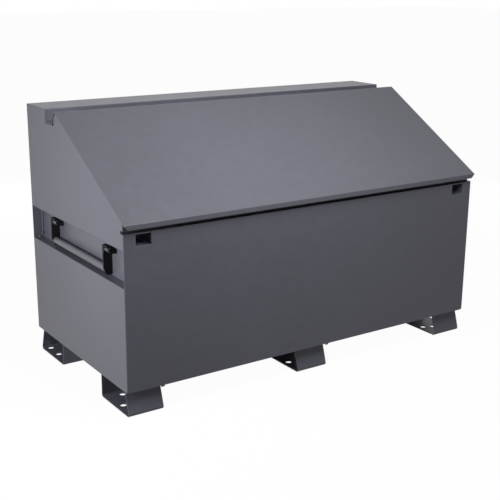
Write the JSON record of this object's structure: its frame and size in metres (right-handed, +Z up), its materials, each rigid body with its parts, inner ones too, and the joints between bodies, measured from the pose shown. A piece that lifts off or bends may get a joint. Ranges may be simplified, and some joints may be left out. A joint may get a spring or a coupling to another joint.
{
  "type": "jobsite storage box",
  "caption": "Sheet steel jobsite chest with a sloping hinged lid, fixed rear strip, recessed side handles, padlock pockets and bent plate feet.",
  "frame": {"origin": "on the floor, at the middle of the overall length and depth", "axes": "+X to the right along the front, +Y from the front to the rear, +Z up"},
  "size_m": [1.5304, 0.759, 0.947],
  "materials": {
    "body_enamel": "semi-gloss dark grey enamel",
    "lid_enamel": "semi-gloss dark grey enamel",
    "foot_enamel": "semi-gloss dark grey enamel",
    "black_enamel": "satin black enamel",
    "grey_grip": "moulded grey vinyl",
    "zinc_plate": "bright zinc plating",
    "black_rubber": "matt black rubber"
  },
  "bodies": {
    "box": {"floor_pan": "body_enamel", "front_panel": "body_enamel", "rear_panel": "body_enamel", "top_strip": "body_enamel", "left_lower_side": "body_enamel", "left_handle_channel": "body_enamel", "left_upper_side": "body_enamel", "right_lower_side": "body_enamel", "right_handle_channel": "body_enamel", "right_upper_side": "body_enamel", "left_lock_pocket": "body_enamel", "right_lock_pocket": "body_enamel", "front_left_foot": "foot_enamel", "rear_left_foot": "foot_enamel", "front_centre_foot": "foot_enamel", "rear_centre_foot": "foot_enamel", "front_right_foot": "foot_enamel", "rear_right_foot": "foot_enamel", "left_front_saddle": "black_enamel", "left_rear_saddle": "black_enamel", "right_front_saddle": "black_enamel", "right_rear_saddle": "black_enamel", "left_front_handle_pin": "zinc_plate", "left_rear_handle_pin": "zinc_plate", "right_front_handle_pin": "zinc_plate", "right_rear_handle_pin": "zinc_plate", "hinge_body_leaf": "body_enamel", "hinge_pin": "zinc_plate", "left_bumper": "black_rubber", "right_bumper": "black_rubber", "left_strut_body_bracket": "zinc_plate", "right_strut_body_bracket": "zinc_plate"},
    "lid": {"lid_panel": "lid_enamel", "hinge_lid_leaf": "lid_enamel", "left_lid_rib": "lid_enamel", "centre_lid_rib": "lid_enamel", "right_lid_rib": "lid_enamel", "left_staple": "zinc_plate", "right_staple": "zinc_plate", "left_strut_lid_bracket": "zinc_plate", "right_strut_lid_bracket": "zinc_plate"},
    "left_handle": {"left_front_handle_arm": "black_enamel", "left_rear_handle_arm": "black_enamel", "left_grip": "grey_grip"},
    "right_handle": {"right_front_handle_arm": "black_enamel", "right_rear_handle_arm": "black_enamel", "right_grip": "grey_grip"},
    "left_strut_lower": {"left_strut_tube": "black_enamel"},
    "left_strut_upper": {"left_strut_rod": "zinc_plate"},
    "right_strut_lower": {"right_strut_tube": "black_enamel"},
    "right_strut_upper": {"right_strut_rod": "zinc_plate"}
  },
  "joints": [
    {"name": "lid_hinge", "type": "hinge", "parent": "box", "child": "lid", "pos_m": [0, 0.2092, 0.9073], "axis": [-1, 0, 0], "range_deg": [0, 80]},
    {"name": "left_handle_swing", "type": "hinge", "parent": "box", "child": "left_handle", "pos_m": [-0.748, 0.007, 0.542], "axis": [0, 1, 0], "range_deg": [0, 90]},
    {"name": "right_handle_swing", "type": "hinge", "parent": "box", "child": "right_handle", "pos_m": [0.748, 0.007, 0.542], "axis": [0, -1, 0], "range_deg": [0, 90]},
    {"name": "left_strut_swing", "type": "hinge", "parent": "box", "child": "left_strut_lower", "pos_m": [-0.73, 0.2485, 0.752], "axis": [-1, 0, 0], "range_deg": [0, 49.3]},
    {"name": "left_strut_extend", "type": "slide", "parent": "left_strut_lower", "child": "left_strut_upper", "axis": [0, -0.957, 0.2901], "range_m": [0, 0.1206]},
    {"name": "right_strut_swing", "type": "hinge", "parent": "box", "child": "right_strut_lower", "pos_m": [0.73, 0.2485, 0.752], "axis": [-1, 0, 0], "range_deg": [0, 49.3]},
    {"name": "right_strut_extend", "type": "slide", "parent": "right_strut_lower", "child": "right_strut_upper", "axis": [0, -0.957, 0.2901], "range_m": [0, 0.1206]}
  ],
  "couplings": [
    {"joint": "left_strut_swing", "follows": "lid_hinge", "ratio": 0.61521},
    {"joint": "left_strut_extend", "follows": "lid_hinge", "m_per_rad": 0.086263},
    {"joint": "right_strut_swing", "follows": "lid_hinge", "ratio": 0.61521},
    {"joint": "right_strut_extend", "follows": "lid_hinge", "m_per_rad": 0.086263}
  ]
}
